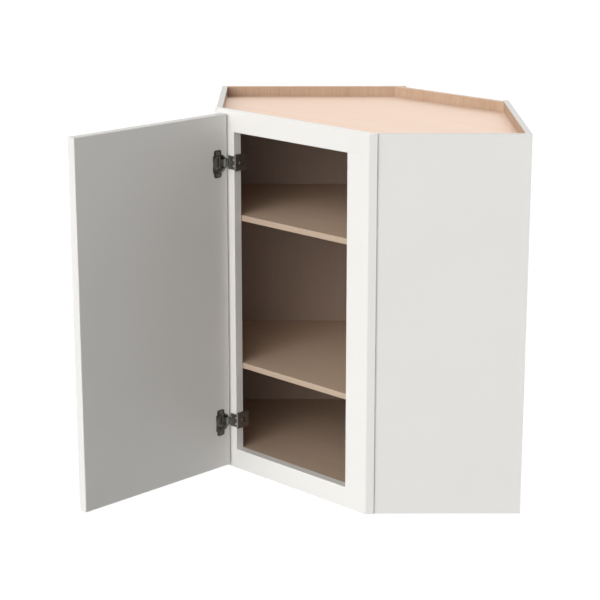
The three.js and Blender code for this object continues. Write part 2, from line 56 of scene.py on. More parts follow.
camera_data = bpy.data.cameras.new("camera")
camera_data.sensor_width = SENSOR
camera_data.lens = FOCAL_LENGTH * SENSOR / PHOTO_WIDTH
camera_data.clip_end = 200.0
camera = bpy.data.objects.new("camera", camera_data)
camera.location = [place * MM for place in CAMERA_PLACE]
camera.rotation_euler = (math.radians(90 - CAMERA_DOWN), 0, -math.radians(CAMERA_TURN))
bpy.context.scene.collection.objects.link(camera)
bpy.context.scene.camera = camera
bpy.context.scene.view_settings.view_transform = "Standard"


# ---------------------------------------------------------------- studio
# A wall cabinet hangs about 1.4 m above the floor, so the floor is that far below it and the
# picture shows only its white far part. The white surround holds two wide soft lights.

HANGING_HEIGHT = 1372.0
FLOOR_REACH = 60000.0
FLOOR_GREY = "#909090"
FLOOR_LIFT = 0.75  # what the eye adds to the floor to see it white
ROOM_WHITE = "#ffffff"
KEY_SIDE = (-0.59, -0.78, 0.22)  # towards the wall of light in front of the cabinet, on its left
KEY_LEVEL = 4.8
KEY_SPREAD = 5.0
TOP_SIDE = (0.40, 0.81, 0.43)  # towards the low fill behind, which leaves a soft shadow inside the rim
TOP_LEVEL = 3.55
TOP_SPREAD = 4.0


def linear(hex_code):
    """The linear colour of an sRGB hex code: ((c + 0.055) / 1.055) ** 2.4 above the toe."""
    channels = np.array([int(hex_code[i:i + 2], 16) / 255 for i in (1, 3, 5)])
    toe = channels <= 0.04045
    straight = np.where(toe, channels / 12.92, ((channels + 0.055) / 1.055) ** 2.4)
    return (*straight.tolist(), 1.0)


def node(tree, kind, links=(), **settings):
    """Adds one shader node. Each link is (input, value or socket); the settings are its properties."""
    made = tree.nodes.new(kind)
    for name, value in settings.items():
        setattr(made, name, value)
    for place, value in links:
        if isinstance(value, bpy.types.NodeSocket):
            tree.links.new(value, made.inputs[place])
        else:
            made.inputs[place].default_value = value
    return made


def seen_straight(tree):
    """1 for a ray that shows the background itself: from the camera, a mirror or clear glass."""
    rays = node(tree, "ShaderNodeLightPath")
    straight = node(tree, "ShaderNodeMath", [
        (0, rays.outputs["Is Camera Ray"]), (1, rays.outputs["Is Glossy Ray"])], operation="ADD")
    both = node(tree, "ShaderNodeMath", [
        (0, straight.outputs[0]), (1, rays.outputs["Is Transmission Ray"])],
        operation="ADD", use_clamp=True)
    return both.outputs[0]


def soft_side(tree, towards, spread, level):
    """A wide soft light: level * max(0, cosine of the angle to its middle) ** spread."""
    direction = node(tree, "ShaderNodeTexCoord").outputs["Generated"]
    cosine = node(tree, "ShaderNodeVectorMath", [(0, direction), (1, towards)], operation="DOT_PRODUCT")
    facing = node(tree, "ShaderNodeMath", [(0, cosine.outputs["Value"]), (1, 0.0)], operation="MAXIMUM")
    falling = node(tree, "ShaderNodeMath", [(0, facing.outputs[0]), (1, spread)], operation="POWER")
    light = node(tree, "ShaderNodeMath", [(0, falling.outputs[0]), (1, level)], operation="MULTIPLY")
    return light.outputs[0]


def light_the_room():
    """A white surround: its own white where it is looked at, and two wide soft lights elsewhere."""
    world = bpy.data.worlds.new("white_room")
    world.use_nodes = True
    tree = world.node_tree
    tree.nodes.clear()
    sides = node(tree, "ShaderNodeMath", [
        (0, soft_side(tree, KEY_SIDE, KEY_SPREAD, KEY_LEVEL)),
        (1, soft_side(tree, TOP_SIDE, TOP_SPREAD, TOP_LEVEL))], operation="ADD")
    lit = node(tree, "ShaderNodeBackground", [
        ("Color", linear(ROOM_WHITE)), ("Strength", sides.outputs[0])])
    shown = node(tree, "ShaderNodeBackground", [("Color", linear(ROOM_WHITE)), ("Strength", 1.0)])
    mixed = node(tree, "ShaderNodeMixShader", [
        (0, seen_straight(tree)), (1, lit.outputs[0]), (2, shown.outputs[0])])
    node(tree, "ShaderNodeOutputWorld", [("Surface", mixed.outputs[0])])
    bpy.context.scene.world = world


light_the_room()


def lay_floor():
    """One square of matt grey board. Seen straight it is lifted to white, and it keeps its shadow."""
    paint = bpy.data.materials.new("matt_floor_board")
    paint.use_nodes = True
    tree = paint.node_tree
    tree.nodes.clear()
    board = node(tree, "ShaderNodeBsdfDiffuse", [("Color", linear(FLOOR_GREY))])
    lift = node(tree, "ShaderNodeMath", [(0, seen_straight(tree)), (1, FLOOR_LIFT)], operation="MULTIPLY")
    glow = node(tree, "ShaderNodeEmission", [("Color", linear(ROOM_WHITE)), ("Strength", lift.outputs[0])])
    both = node(tree, "ShaderNodeAddShader", [(0, board.outputs[0]), (1, glow.outputs[0])])
    node(tree, "ShaderNodeOutputMaterial", [("Surface", both.outputs[0])])
    mesh = bpy.data.meshes.new("floor")
    reach = FLOOR_REACH * MM
    corners = [(-reach, -reach), (reach, -reach), (reach, reach), (-reach, reach)]
    mesh.from_pydata([(x, y, -HANGING_HEIGHT * MM) for x, y in corners], [], [(0, 1, 2, 3)])
    mesh.materials.append(paint)
    floor = bpy.data.objects.new("floor", mesh)
    bpy.context.scene.collection.objects.link(floor)


lay_floor()


# ---------------------------------------------------------------- painted carcase panels
# The sides are 12 mm plywood, glued behind the face frame, sprayed with a warm white satin
# enamel outside and a greyer copy of it on their edges, which is painted shade, and left as
# lacquered maple veneer inside, darkened as painted shade. Every arris is sanded by half a millimetre.

ARRIS = 0.5
ENAMEL_WHITE = "#eeece8"
EDGE_GREY_PAINTED_SHADE = "#d0ceca"
ORANGE_PEEL = 1.1  # spacing of the sprayed film's ripple
FILM_DRIFT = 160.0  # how slowly its sheen changes
QUARTER = math.radians(90)
UPRIGHT = (0, QUARTER, 0)  # turns that bring a veneer's grain to X
LEVEL = (0, 0, QUARTER / 2)  # along the front, which runs 45 degrees below the X axis
FIBRE_LENGTH = 70.0  # of a streak in the veneer
GROWTH = (700.0, 26.0, 26.0)  # length and width of a growth band
FLECK = (5.0, 0.8, 0.8)  # a maple ray fleck
FACING = 0.9  # least cosine between a face's normal and the way it faces
MERGE_REACH = 0.002  # CAD points closer than this are one
FLAT_ANGLE = 0.5  # degrees: triangles that meet at less are one flat face


def new_material(name):
    """An empty material and its node tree."""
    made = bpy.data.materials.new(name)
    made.use_nodes = True
    made.node_tree.nodes.clear()
    return made, made.node_tree


def in_millimetres(tree, turn=(0, 0, 0), stretch=(1, 1, 1)):
    """Object coordinates in millimetres, turned, then divided by a pattern's size along each axis."""
    place = node(tree, "ShaderNodeTexCoord").outputs["Object"]
    turned = node(tree, "ShaderNodeMapping", [("Vector", place), ("Rotation", turn)])
    scale = tuple(1000 / size for size in stretch)
    return node(tree, "ShaderNodeMapping", [("Vector", turned.outputs[0]), ("Scale", scale)]).outputs[0]


def darker(hex_code, share):
    """The linear colour of a hex code with only this share of its light."""
    return (*(share * channel for channel in linear(hex_code)[:3]), 1.0)


def satin_enamel(name, colour, roughness=0.42):
    """Sprayed satin enamel: one smooth colour, a soft sheen and a ripple too fine to see from afar."""
    material, tree = new_material(name)
    ripple = node(tree, "ShaderNodeTexNoise", [
        ("Vector", in_millimetres(tree, stretch=(ORANGE_PEEL,) * 3)), ("Scale", 1.0), ("Detail", 2.0)])
    drift = node(tree, "ShaderNodeTexNoise", [
        ("Vector", in_millimetres(tree, stretch=(FILM_DRIFT,) * 3)), ("Scale", 1.0), ("Detail", 3.0)])
    sheen = node(tree, "ShaderNodeMapRange", [
        ("Value", drift.outputs["Fac"]), ("To Min", roughness - 0.05), ("To Max", roughness + 0.05)])
    tint = node(tree, "ShaderNodeMix", [
        (0, drift.outputs["Fac"]), (6, linear(colour)), (7, darker(colour, 0.97))], data_type="RGBA")
    bump = node(tree, "ShaderNodeBump", [
        ("Height", ripple.outputs["Fac"]), ("Strength", 0.12), ("Distance", 0.02 * MM)])
    skin = node(tree, "ShaderNodeBsdfPrincipled", [
        ("Base Color", tint.outputs[2]), ("Roughness", sheen.outputs[0]), ("IOR", 1.5),
        ("Normal", bump.outputs[0])])
    node(tree, "ShaderNodeOutputMaterial", [("Surface", skin.outputs[0])])
    return material


def maple_veneer(name, pale, dark, grain, fibre_width, contrast=1.0, roughness=0.48):
    """Sliced hard maple: close even grain, faint growth bands and tiny ray flecks."""
    material, tree = new_material(name)
    fibre = node(tree, "ShaderNodeTexNoise", [
        ("Vector", in_millimetres(tree, grain, (FIBRE_LENGTH, fibre_width, fibre_width))),
        ("Scale", 1.0), ("Detail", 4.0)])
    growth = node(tree, "ShaderNodeTexNoise", [
        ("Vector", in_millimetres(tree, grain, GROWTH)), ("Scale", 1.0), ("Detail", 3.0),
        ("Distortion", 0.4)])
    fleck = node(tree, "ShaderNodeTexNoise", [
        ("Vector", in_millimetres(tree, grain, FLECK)), ("Scale", 1.0), ("Detail", 1.0)])
    fleck_mask = node(tree, "ShaderNodeMapRange", [
        ("Value", fleck.outputs["Fac"]), ("From Min", 0.62), ("From Max", 0.75),
        ("To Max", 0.25 * contrast)])
    streaks = node(tree, "ShaderNodeMapRange", [
        ("Value", fibre.outputs["Fac"]), ("From Min", 0.3), ("From Max", 0.7),
        ("To Max", 0.55 * contrast)])
    bands = node(tree, "ShaderNodeMapRange", [
        ("Value", growth.outputs["Fac"]), ("From Min", 0.3), ("From Max", 0.7),
        ("To Max", 0.45 * contrast)])
    lines = node(tree, "ShaderNodeMath", [(0, streaks.outputs[0]), (1, bands.outputs[0])], operation="ADD")
    depth = node(tree, "ShaderNodeMath", [
        (0, lines.outputs[0]), (1, fleck_mask.outputs[0])], operation="ADD", use_clamp=True)
    wood = node(tree, "ShaderNodeMix", [
        (0, depth.outputs[0]), (6, linear(pale)), (7, linear(dark))], data_type="RGBA")
    bump = node(tree, "ShaderNodeBump", [
        ("Height", fibre.outputs["Fac"]), ("Strength", 0.1), ("Distance", 0.03 * MM)])
    surface = node(tree, "ShaderNodeBsdfPrincipled", [
        ("Base Color", wood.outputs[2]), ("Roughness", roughness), ("IOR", 1.5),
        ("Normal", bump.outputs[0])])
    node(tree, "ShaderNodeOutputMaterial", [("Surface", surface.outputs[0])])
    return material


def merged_copy(cad_name, cut_heights=()):
    """A CAD node's mesh as a bmesh: its loose triangles joined into whole flat faces, cut level
    at the given heights."""
    copy = bmesh.new()
    copy.from_mesh(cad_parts[cad_name].data)
    bmesh.ops.remove_doubles(copy, verts=copy.verts, dist=MERGE_REACH * MM)
    bmesh.ops.dissolve_limit(copy, angle_limit=math.radians(FLAT_ANGLE), verts=copy.verts, edges=copy.edges)
    for height in cut_heights:
        everything = copy.verts[:] + copy.edges[:] + copy.faces[:]
        bmesh.ops.bisect_plane(
            copy, geom=everything, plane_co=(0, 0, height * MM), plane_no=(0, 0, 1))
    return copy


def flatten_shading(piece):
    """Lets the large faces set the shading, so a flat one looks flat right up to its eased edge."""
    weighted = piece.modifiers.new("flat_shading", "WEIGHTED_NORMAL")
    weighted.mode = "FACE_AREA"
    weighted.weight = 100
    weighted.keep_sharp = True


def stand_in(piece, cad_name, body="cabinet"):
    """Puts a finished piece in its CAD node's place, on its body, and hides the CAD node."""
    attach(piece, body)
    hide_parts(cad_name)


def new_piece(cad_name, shell, materials, crease):
    """A piece from a bmesh, shaded smooth but where its faces meet at more than the crease, in
    degrees."""
    mesh = bpy.data.meshes.new(cad_name + "_finished")
    shell.to_mesh(mesh)
    shell.free()
    for material in materials:
        mesh.materials.append(material)
    mesh.shade_smooth()
    mesh.set_sharp_from_angle(angle=math.radians(crease))
    piece = bpy.data.objects.new(mesh.name, mesh)
    bpy.context.scene.collection.objects.link(piece)
    return piece


def ease_edges(piece, name, width, segments, sharper_than, only_weighted=False):
    """Breaks a piece's edges that are sharper than an angle in degrees, or only the weighted ones."""
    bevel = piece.modifiers.new(name, "BEVEL")
    bevel.width = width * MM
    bevel.segments = segments
    bevel.limit_method = "WEIGHT" if only_weighted else "ANGLE"
    bevel.angle_limit = math.radians(sharper_than)


def finish_wood(cad_name, copy, materials, arris=ARRIS, body="cabinet", only_weighted=False):
    """A wooden piece from a merged copy, with its edges eased by an arris."""
    piece = new_piece(cad_name, copy, materials, crease=30)
    if arris:
        ease_edges(piece, "eased_edges", arris, segments=2, sharper_than=40, only_weighted=only_weighted)
    flatten_shading(piece)
    stand_in(piece, cad_name, body)


enamel = satin_enamel("satin_enamel_on_plywood", ENAMEL_WHITE)
# The edge enamel is a greyer copy of the enamel: painted shade on the edges.
edge_enamel_painted_shade = satin_enamel("enamel_on_plywood_edge_painted_shade", EDGE_GREY_PAINTED_SHADE, roughness=0.6)
# The uprights' lacquered veneer is a darker copy of the raw maple: painted shade for the cabinet's inside.
maple_upright_painted_shade = maple_veneer("lacquered_maple_upright_painted_shade", "#a08978", "#927b6b", UPRIGHT, 1.8, contrast=0.6)


def painted_side(cad_name, inward):
    """A side panel: veneer on its inner face, a greyer copy of the enamel on its top and bottom
    edges as painted shade, and full enamel elsewhere."""
    copy = merged_copy(cad_name)
    for face in copy.faces:
        if face.normal.dot(mathutils.Vector(inward)) > FACING:
            face.material_index = 1
        elif abs(face.normal.z) > FACING:
            face.material_index = 2
    finish_wood(cad_name, copy, [enamel, maple_upright_painted_shade, edge_enamel_painted_shade])


painted_side("side_panel_left", (1, 0, 0))
painted_side("side_panel_right", (0, 1, 0))


# ---------------------------------------------------------------- backs
# The two wall panels and the diagonal back are the same plywood in upright maple veneer, glued
# to the sides: lacquered inside, in a darker tone that is painted shade, and left raw and paler
# above the top panel and behind. The right wall panel's edges take the sides' greyer edge enamel, painted
# shade, and the others show their plies.

# Below this height the inner faces take the darker veneer of painted shade.
TOP_SURFACE = 735.0  # between the two faces of the top panel: the lacquer ends here
PLY = 1.7  # thickness of one ply
PLY_PALE = "#dcc3ab"
PLY_DARK = "#b8967a"
END_PORE = 0.9  # width of a pore in the sawn edge

raw_maple = maple_veneer(
    "raw_maple_upright", "#c2a78f", "#ab8c73", UPRIGHT, 4.0, contrast=0.9, roughness=0.62)


def plywood_edge(name, pale, dark, across):
    """The sawn edge of maple plywood: every second ply is end grain and darker. They lie across the
    axis that the turn brings to X."""
    material, tree = new_material(name)
    place = in_millimetres(tree, across, (2 * PLY,) * 3)
    along = node(tree, "ShaderNodeSeparateXYZ", [(0, place)])
    turn = node(tree, "ShaderNodeMath", [(0, along.outputs[0]), (1, 2 * math.pi)], operation="MULTIPLY")
    ripple = node(tree, "ShaderNodeMath", [(0, turn.outputs[0])], operation="SINE")
    ply = node(tree, "ShaderNodeMapRange", [
        ("Value", ripple.outputs[0]), ("From Min", -0.35), ("From Max", 0.35)])
    pores = node(tree, "ShaderNodeTexNoise", [
        ("Vector", in_millimetres(tree, stretch=(END_PORE,) * 3)), ("Scale", 1.0), ("Detail", 3.0)])
    shade = node(tree, "ShaderNodeMath", [
        (0, ply.outputs[0]), (1, pores.outputs["Fac"])], operation="MULTIPLY")
    wood = node(tree, "ShaderNodeMix", [
        (0, shade.outputs[0]), (6, linear(pale)), (7, linear(dark))], data_type="RGBA")
    bump = node(tree, "ShaderNodeBump", [
        ("Height", pores.outputs["Fac"]), ("Strength", 0.3), ("Distance", 0.1 * MM)])
    sawn = node(tree, "ShaderNodeBsdfPrincipled", [
        ("Base Color", wood.outputs[2]), ("Roughness", 0.8), ("IOR", 1.45), ("Normal", bump.outputs[0])])
    node(tree, "ShaderNodeOutputMaterial", [("Surface", sawn.outputs[0])])
    return material


def veneered_back(cad_name, inward, edge):
    """A back panel: lacquered inside in the darker tone of painted shade, raw above and behind, and its own
    finish on its sawn edges.
    """
    copy = merged_copy(cad_name, [TOP_SURFACE])
    for face in copy.faces:
        facing = face.normal.dot(mathutils.Vector(inward).normalized())
        if facing > FACING and face.calc_center_median().z < TOP_SURFACE * MM:
            face.material_index = 1
        elif abs(facing) < FACING:
            face.material_index = 2
    finish_wood(cad_name, copy, [raw_maple, maple_upright_painted_shade, edge])


veneered_back("wall_panel_rear", (0, -1, 0), plywood_edge(
    "plywood_edge_rear", PLY_PALE, PLY_DARK, (0, 0, QUARTER)))
veneered_back("diagonal_back_panel", (-1, -1, 0), plywood_edge(
    "plywood_edge_diagonal", PLY_PALE, PLY_DARK, (0, 0, -QUARTER / 2)))
veneered_back("wall_panel_right", (-1, 0, 0), edge_enamel_painted_shade)


# ---------------------------------------------------------------- top and bottom panels
# Both are let into grooves in the uprights. Their veneer runs along the front: raw on the top
# panel's upper face, whose paler tone is painted light and sheen from above, and lacquered inside.

# The top panel's raw veneer is painted paler than the other raw maple: painted light and sheen from above.
top_maple_painted_light = maple_veneer("raw_maple_top_painted_light", "#f1d4be", "#e8c7af", LEVEL, 3.0, contrast=0.6, roughness=0.62)
inside_level = maple_veneer("lacquered_maple_level", "#c0a994", "#b29a86", LEVEL, 1.8, contrast=0.6)


def level_panel(cad_name, inside_up, outside):
    """A panel that lies level, with its lacquered face towards the inside of the cabinet."""
    copy = merged_copy(cad_name)
    for face in copy.faces:
        face.material_index = 1 if face.normal.z * inside_up > FACING else 0
    finish_wood(cad_name, copy, [outside, inside_level])


level_panel("top_panel", -1, top_maple_painted_light)
level_panel("bottom_panel", 1, raw_maple)


# ---------------------------------------------------------------- shelves
# Two loose shelves of the same plywood, each lying on six pins, lacquered on both faces and
# banded with solid maple round their edges. Their veneer is painted paler than the uprights':
# painted light, as the light reaches them first.

# The shelves' veneer is painted paler than the uprights': painted light.
shelf_maple_painted_light = maple_veneer("lacquered_maple_shelf_painted_light", "#d3b9a2", "#c8ae95", LEVEL, 1.8, contrast=0.6)
band_maple = maple_veneer("solid_maple_band", "#c3ae99", "#b69f8a", LEVEL, 1.0, contrast=0.8)

for shelf in ("shelf_lower", "shelf_upper"):
    copy = merged_copy(shelf)
    for face in copy.faces:
        face.material_index = 1 if abs(face.normal.z) < FACING else 0
    finish_wood(shelf, copy, [shelf_maple_painted_light, band_maple])


# ---------------------------------------------------------------- face frame
# Two stiles and two rails of solid maple, tenoned, glued, and sprayed as one with the same
# enamel, which fills the joints. Only the outline and the opening have an eased arris.

FRAME_CORNER = (-609.6, -307.0)  # its left front arris
DIAGONAL = math.sqrt(0.5)
STILE_WIDTH = 56.0
OPENING_END = 371.941  # the right stile's inner edge, along the front
SILL = 42.0
LINTEL = 720.0
FRAME_HEIGHT = 762.0
BLUNT_END = 15.0  # behind this the frame's end is glued to the side panel
FRAME_ARRIS = 0.7
SHOULDER_LINE = 0.15  # glue line at each end of a rail, which the paint fills
NEAR = 0.1  # two places closer than this are the same

frame_enamel = satin_enamel("satin_enamel_on_maple", ENAMEL_WHITE)


def to_front(point):
    """A point in metres in the front's axes: along it, into the cabinet, and up, in millimetres."""
    east, north = point[0] / MM - FRAME_CORNER[0], point[1] / MM - FRAME_CORNER[1]
    return (east - north) * DIAGONAL, (east + north) * DIAGONAL, point[2] / MM


def is_eased(start, end):
    """Whether an edge of the frame is an arris of its front outline, its opening or its blunt ends."""
    (x0, y0, z0), (x1, y1, z1) = to_front(start), to_front(end)
    outside = max(x0, x1) < NEAR or min(x0, x1) > OPENING_END + STILE_WIDTH - NEAR
    shown = max(y0, y1) < NEAR or outside and max(y0, y1) < BLUNT_END
    if abs(z0 - z1) > NEAR:
        beside_opening = min(z0, z1) > SILL - NEAR and max(z0, z1) < LINTEL + NEAR
        return shown and (outside or beside_opening)
    at_end = z0 < NEAR or z0 > FRAME_HEIGHT - NEAR
    on_rail = min(x0, x1) > STILE_WIDTH - NEAR and max(x0, x1) < OPENING_END + NEAR
    return shown and (at_end or on_rail)


def finish_frame(cad_name):
    """A stile or a rail: a rail's shoulders meet the stiles, and only the outline is eased."""
    copy = merged_copy(cad_name, [SILL, LINTEL] if cad_name.startswith("stile") else [])
    along = mathutils.Vector((DIAGONAL, -DIAGONAL, 0)) * SHOULDER_LINE * MM
    if cad_name.startswith("rail"):
        for vert in copy.verts:
            x = to_front(vert.co)[0]
            if abs(x - STILE_WIDTH - SHOULDER_LINE) < NEAR:
                vert.co -= along
            elif abs(x - OPENING_END + SHOULDER_LINE) < NEAR:
                vert.co += along
    weight = copy.edges.layers.float.new("bevel_weight_edge")
    for edge in copy.edges:
        edge[weight] = float(is_eased(edge.verts[0].co, edge.verts[1].co))
    finish_wood(cad_name, copy, [frame_enamel], arris=FRAME_ARRIS, only_weighted=True)


for frame_piece in ("stile_left", "stile_right", "rail_bottom", "rail_top"):
    finish_frame(frame_piece)


# ---------------------------------------------------------------- door
# A flat slab of 19 mm board, screwed to the two hinge cups. It is enamelled on its faces and
# its long edges, which are rounded to 2 mm. Its sawn ends take the greyer edge enamel: painted shade.

door = merged_copy("door_panel")
for face in door.faces:
    face.material_index = 1 if abs(face.normal.z) > FACING else 0
finish_wood("door_panel", door, [frame_enamel, edge_enamel_painted_shade], arris=0, body="door")


# ---------------------------------------------------------------- hinge cups
# Each cup is drawn steel with a round rim and an ear bar, plated in dark nickel. Its rim, ears
# and lugs take a darker copy of the nickel, which is painted shade. It sits in a 35 mm hole in the
# door, held by two ear screws, and two lugs inside it hold the pin.

PIVOT = (28.8, -15.1)  # hinge pins from the frame's left arris, along the front and inwards
HINGE_HEIGHTS = {"lower": 105.0, "upper": 657.0}
CUP_CENTRE = 10.8  # from the pins, out along the open door
CUP_RADIUS = 16.4  # inside the wall
CUP_FLOOR = -2.4  # from the pins, square to the door
CUP_SHEET = 0.9
DISC_RADII = (7.4, 7.9)  # top and foot of a disc raised in the floor
DISC_HEIGHT = 0.3
FLOOR_CORNER = 3.0
LIP_RADIUS = 1.2
RIM_RADIUS = 19.0  # on the side of the pins
RIM_SQUARE = (18.2, 17.5)  # its straight far edge from the centre, and half its length
RIM_RINGS = (17.8, 18.0, 18.25, 18.5, 18.75, 19.0)
RIM_ROLL = (18.0, 18.8)  # where its edge rolls down
MOUTH = 12.8  # top of the rim, from the pins, square to the door
EAR_LINE = 16.3  # middle of the ear bar, from the pins
EAR_HALF_WIDTH = 10.0
EAR_HALF_LENGTH = 28.5
EAR_CORNER = 5.0
EAR_SCREWS = 22.5  # each ear screw from the hinge's middle
EAR_DROP = 0.3  # of the rim's rolled edge and the ears
EAR_DISH = 0.75  # depth round each screw
DISH_RADII = (3.9, 5.4)  # floor and edge of the dish round each screw
NECK_HALF_WIDTH = 7.9
NECK_FLOOR = 7.1  # the wall and the rim are cut away above this, where the arm passes
NECK_APPROACH = 2.2  # angle from the far side, in radians, past which the columns bend to the neck
LUG_RADIUS = 3.0
LUG_END = 12.3
LUG_SUNK = 0.4  # into the floor's sheet
LUG_IN_WALL = 0.5  # into the wall's sheet
LUG_CHAMFER = 0.3
LUG_TIP = 0.9  # size of its chamfered face, as a share of the rest
CUP_COLUMNS = 240
NECK_COLUMNS = 15
FLAT_RINGS = 27
RAY_LENGTH = 32.0
RAY_STEPS = 3201
SAME_POINT = 0.001
TOOL_MARK = 0.25  # width of a mark of the press tool
BLOTCH = 4.0  # width of the plating's faint patches


def from_front(points):
    """The front's axes to the room's: x and y turn by 45 degrees about the frame's left arris."""
    x, y, z = points[..., 0], points[..., 1], points[..., 2]
    return np.stack([
        FRAME_CORNER[0] + (x + y) * DIAGONAL,
        FRAME_CORNER[1] + (y - x) * DIAGONAL,
        z], axis=-1)


def from_door(points):
    """The open door's axes to the room's: x runs out of the front from the pins, y along it."""
    x, y, z = points[..., 0], points[..., 1], points[..., 2]
    return from_front(np.stack([PIVOT[0] + y, PIVOT[1] - x, z], axis=-1))


def grid_faces(rows, columns, closed=True):
    """The quads of a grid of points; a closed grid joins its last column to its first."""
    spans = columns if closed else columns - 1
    row, column = np.meshgrid(np.arange(rows - 1), np.arange(spans), indexing="ij")
    beside = (column + 1) % columns
    corners = [row * columns + column, row * columns + beside,
               (row + 1) * columns + beside, (row + 1) * columns + column]
    return np.stack([corner.ravel() for corner in corners], axis=1)


def arc(centre, radius, start, end, steps):
    """Points on an arc, from one angle in degrees to another."""
    angle = np.radians(np.linspace(start, end, steps))
    return np.stack([centre[0] + radius * np.cos(angle), centre[1] + radius * np.sin(angle)], axis=1)


def smooth_step(value, low, high):
    """0 below low, 1 above high, and 3t^2 - 2t^3 between them."""
    t = np.clip((value - low) / (high - low), 0, 1)
    return t * t * (3 - 2 * t)


def add_part(shell, points, faces, sheet, finish):
    """Adds one part to a piece, from its points in millimetres, with the number of its material, or
    one for each face. Doubled points are merged. A sheet gets its thickness behind its faces; any
    other part has its open ends closed."""
    mesh = bpy.data.meshes.new("part")
    mesh.from_pydata((points.reshape(-1, 3) * MM).tolist(), [], faces.tolist())
    mesh.polygons.foreach_set("material_index", np.full(len(faces), finish, dtype=np.int32))
    part = bmesh.new()
    part.from_mesh(mesh)
    bmesh.ops.remove_doubles(part, verts=part.verts, dist=SAME_POINT * MM)
    loose = [vert for vert in part.verts if not vert.link_faces]
    bmesh.ops.delete(part, geom=loose, context="VERTS")
    if sheet:
        bmesh.ops.solidify(part, geom=part.faces[:], thickness=sheet * MM)
    else:
        bmesh.ops.holes_fill(part, edges=[edge for edge in part.edges if edge.is_boundary])
        bmesh.ops.recalc_face_normals(part, faces=part.faces)
    part.to_mesh(mesh)
    part.free()
    shell.from_mesh(mesh)
    bpy.data.meshes.remove(mesh)


def metal_piece(cad_name, parts, materials, body, edge=0.12):
    """One pressed or turned piece from its parts, each (points, faces, thickness of sheet or 0,
    finish), with its sheared edges broken."""
    shell = bmesh.new()
    for part in parts:
        add_part(shell, *part)
    piece = new_piece(cad_name, shell, materials, crease=38)
    ease_edges(piece, "sheared_edges", edge, segments=1, sharper_than=60)
    flatten_shading(piece)
    stand_in(piece, cad_name, body)


def plated_steel(name, colour, roughness):
    """Nickel-plated pressed steel: a metal mirror blurred by the fine marks of the press tool."""
    material, tree = new_material(name)
    marks = node(tree, "ShaderNodeTexNoise", [
        ("Vector", in_millimetres(tree, stretch=(TOOL_MARK,) * 3)), ("Scale", 1.0), ("Detail", 3.0)])
    blotches = node(tree, "ShaderNodeTexNoise", [
        ("Vector", in_millimetres(tree, stretch=(BLOTCH,) * 3)), ("Scale", 1.0), ("Detail", 2.0)])
    blur = node(tree, "ShaderNodeMapRange", [
        ("Value", blotches.outputs["Fac"]), ("To Min", roughness - 0.08), ("To Max", roughness + 0.08)])
    tone = node(tree, "ShaderNodeMix", [
        (0, blotches.outputs["Fac"]), (6, linear(colour)), (7, darker(colour, 0.85))], data_type="RGBA")
    bump = node(tree, "ShaderNodeBump", [
        ("Height", marks.outputs["Fac"]), ("Strength", 0.25), ("Distance", 0.02 * MM)])
    plate = node(tree, "ShaderNodeBsdfPrincipled", [
        ("Base Color", tone.outputs[2]), ("Metallic", 1.0), ("Roughness", blur.outputs[0]),
        ("Normal", bump.outputs[0])])
    node(tree, "ShaderNodeOutputMaterial", [("Surface", plate.outputs[0])])
    return material


dark_nickel = plated_steel("dark_nickel_plate", "#b2aea8", 0.42)
# The darker copy of the cup's nickel on its rim, ears and lugs is painted shade; on the lugs it also puts
# out their glints.
nickel_in_painted_shade = plated_steel("dark_nickel_plate_painted_shade", "#77746f", 0.42)


def rim_reach(angle):
    """Distance from the cup's centre to the rim's outline at each angle: the furthest step along
    the ray that lies in the ear bar, a rounded rectangle, or in the square far half, and never
    less than the round rim on the side of the pins."""
    steps = np.linspace(0, RAY_LENGTH, RAY_STEPS)[None, :]
    x = steps * np.cos(angle)[:, None]
    z = steps * np.sin(angle)[:, None]
    past_x = np.maximum(np.abs(x - EAR_LINE + CUP_CENTRE) - (EAR_HALF_WIDTH - EAR_CORNER), 0)
    past_z = np.maximum(np.abs(z) - (EAR_HALF_LENGTH - EAR_CORNER), 0)
    in_bar = np.hypot(past_x, past_z) < EAR_CORNER
    in_square = (x > 0) & (x < RIM_SQUARE[0]) & (np.abs(z) < RIM_SQUARE[1])
    reach = np.where(in_bar | in_square, steps, 0).max(axis=1)
    return np.where(np.cos(angle) < 0, np.maximum(reach, RIM_RADIUS), reach)


def bowl_section():
    """The bowl's section as radius and height, from the pole over the floor's raised disc, up the
    wall and over the lip, and how many of its places lie below the neck's notch."""
    disc = CUP_FLOOR + DISC_HEIGHT
    floor = [[0, disc], [4, disc], [DISC_RADII[0], disc], [DISC_RADII[1], CUP_FLOOR], [10.5, CUP_FLOOR]]
    corner = arc((CUP_RADIUS - FLOOR_CORNER, CUP_FLOOR + FLOOR_CORNER), FLOOR_CORNER, -90, 0, 7)
    low_wall = [[CUP_RADIUS, 3.5], [CUP_RADIUS, NECK_FLOOR - 0.8]]
    high_wall = [[CUP_RADIUS, NECK_FLOOR], [CUP_RADIUS, 9.5]]
    lip = arc((CUP_RADIUS + LIP_RADIUS, MOUTH - LIP_RADIUS), LIP_RADIUS, 180, 90, 6)
    section = np.concatenate([floor, corner, low_wall, high_wall, lip])
    return section, len(floor) + len(corner) + len(low_wall)


